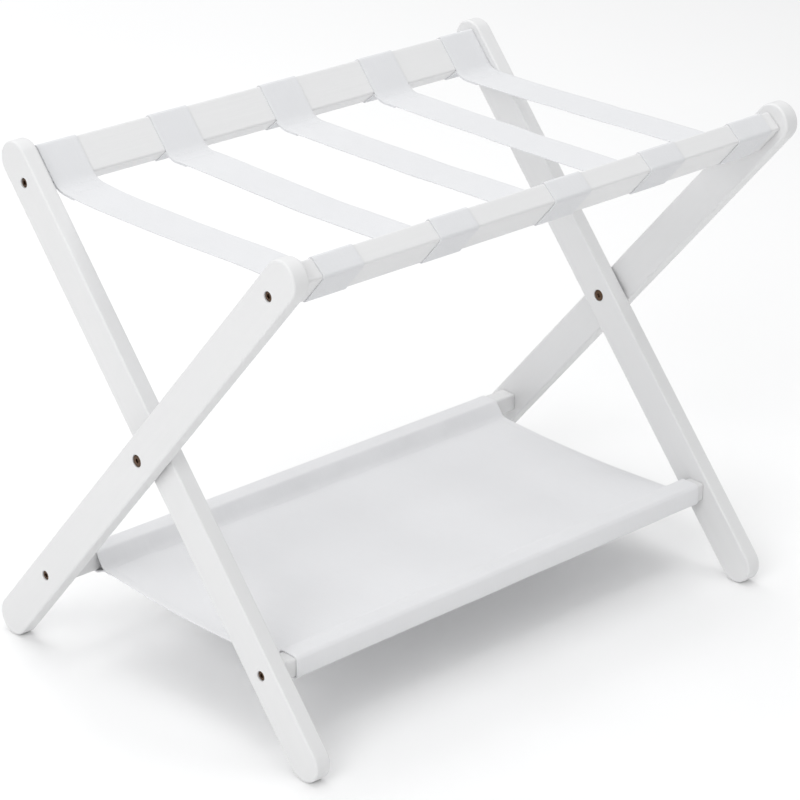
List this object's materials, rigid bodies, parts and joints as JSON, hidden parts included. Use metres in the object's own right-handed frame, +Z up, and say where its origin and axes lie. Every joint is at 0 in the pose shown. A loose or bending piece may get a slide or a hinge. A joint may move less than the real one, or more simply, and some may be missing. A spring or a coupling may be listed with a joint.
{
  "type": "folding luggage rack",
  "caption": "Folding luggage rack: crossed white wooden leg frames hinged at the middle, webbing straps between the top rails and a cloth shelf slung between the lower rails.",
  "frame": {"origin": "on the floor under the middle of the open rack", "axes": "+X along the rails to the right, +Y to the back, +Z up"},
  "size_m": [0.672, 0.457, 0.5229],
  "materials": {
    "paint": "satin white paint over wood",
    "webbing": "plain woven white webbing",
    "shelf_cloth": "woven canvas, cool white",
    "bronze": "antique bronze plated",
    "steel": "zinc plated",
    "beech": "bare turned beech",
    "nylon": "black nylon"
  },
  "bodies": {
    "outer_frame": {"outer_leg_left": "paint", "outer_leg_right": "paint", "front_top_rail": "paint", "front_top_rail_bolt_left": "bronze", "front_top_rail_insert_left": "steel", "front_top_rail_dowel_left": "beech", "front_top_rail_bolt_right": "bronze", "front_top_rail_insert_right": "steel", "front_top_rail_dowel_right": "beech", "back_lower_rail": "paint", "back_lower_rail_bolt_left": "bronze", "back_lower_rail_insert_left": "steel", "back_lower_rail_bolt_right": "bronze", "back_lower_rail_insert_right": "steel", "pivot_bolt_left": "bronze", "pivot_nut_left": "bronze", "pivot_washer_left": "nylon", "pivot_bolt_right": "bronze", "pivot_nut_right": "bronze", "pivot_washer_right": "nylon", "strap_1": "webbing", "strap_2": "webbing", "strap_3": "webbing", "strap_4": "webbing", "strap_5": "webbing", "shelf_sling": "shelf_cloth"},
    "inner_frame": {"inner_leg_left": "paint", "inner_leg_right": "paint", "back_top_rail": "paint", "back_top_rail_bolt_left": "bronze", "back_top_rail_insert_left": "steel", "back_top_rail_dowel_left": "beech", "back_top_rail_bolt_right": "bronze", "back_top_rail_insert_right": "steel", "back_top_rail_dowel_right": "beech", "front_lower_rail": "paint", "front_lower_rail_bolt_left": "bronze", "front_lower_rail_insert_left": "steel", "front_lower_rail_bolt_right": "bronze", "front_lower_rail_insert_right": "steel"}
  },
  "joints": [
    {"name": "fold", "type": "hinge", "parent": "outer_frame", "child": "inner_frame", "pos_m": [0, 0, 0.26409], "axis": [1, 0, 0], "range_deg": [0, 72], "deforming": ["strap_1", "strap_2", "strap_3", "strap_4", "strap_5", "shelf_sling"]}
  ]
}
